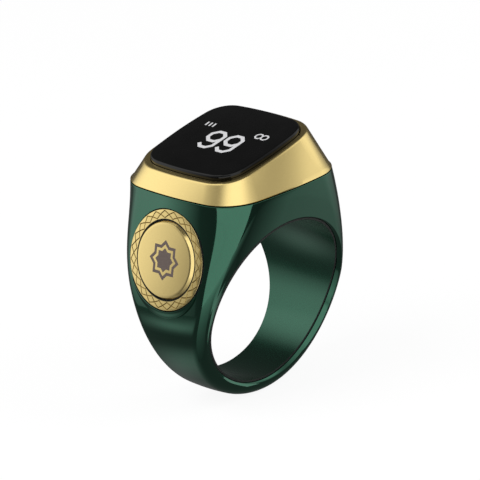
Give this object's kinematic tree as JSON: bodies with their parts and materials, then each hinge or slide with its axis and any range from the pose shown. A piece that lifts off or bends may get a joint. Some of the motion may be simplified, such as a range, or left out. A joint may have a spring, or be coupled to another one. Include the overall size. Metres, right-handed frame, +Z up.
{
  "type": "finger ring tally counter",
  "caption": "Finger ring tally counter: flared green band, hollow head with a tilted gold bezel and dark display, and a round push button on the side.",
  "frame": {"origin": "centre of the finger bore", "axes": "+Y along the finger axis, +Z up through the display, -X towards the count button"},
  "size_m": [0.0248, 0.0198, 0.032],
  "materials": {
    "lacquer": "deep emerald metallic lacquer, glossy",
    "gold": "satin gold plating",
    "cover_glass": "black printed cover glass, glossy",
    "adhesive": "bonding tape",
    "clear_film": "clear bonding film",
    "display": "dark display panel",
    "ribbon": "amber flexible circuit",
    "foam": "foam",
    "board": "solder mask",
    "chip": "moulded package",
    "cell": "pouch foil",
    "steel": "spring and sheet steel",
    "silicone": "silicone rubber",
    "contact": "gold-plated contact",
    "weight": "dense sintered metal"
  },
  "bodies": {
    "housing": {"ring_body": "lacquer", "bore_liner": "lacquer", "bezel": "gold", "display_glass": "cover_glass", "glass_gasket": "adhesive", "display_film": "clear_film", "oled_panel": "display", "oled_flex": "ribbon", "display_pad": "foam", "main_board": "board", "controller_chip": "chip", "board_components": "chip", "battery": "cell", "battery_tabs": "steel", "battery_pad": "adhesive", "button_ring": "gold", "button_seal": "silicone", "snap_dome": "steel", "button_flex": "ribbon", "button_stiffener": "steel", "charging_contacts": "contact", "contact_springs": "contact", "motor_base": "steel", "motor_case": "steel", "motor_shaft": "steel"},
    "button": {"button_cap": "gold"},
    "vibration_weight": {"motor_rotor": "weight"}
  },
  "joints": [
    {"name": "button_press", "type": "slide", "parent": "housing", "child": "button", "axis": [0.9728, 0, -0.2317], "range_m": [0, 0.00025], "stiffness_N_per_m": 6000, "deforming": ["snap_dome", "button_seal"]},
    {"name": "weight_spin", "type": "hinge", "parent": "housing", "child": "vibration_weight", "pos_m": [0.00435, 0.00438, 0.0123], "axis": [0, 0, 1], "continuous": true}
  ]
}
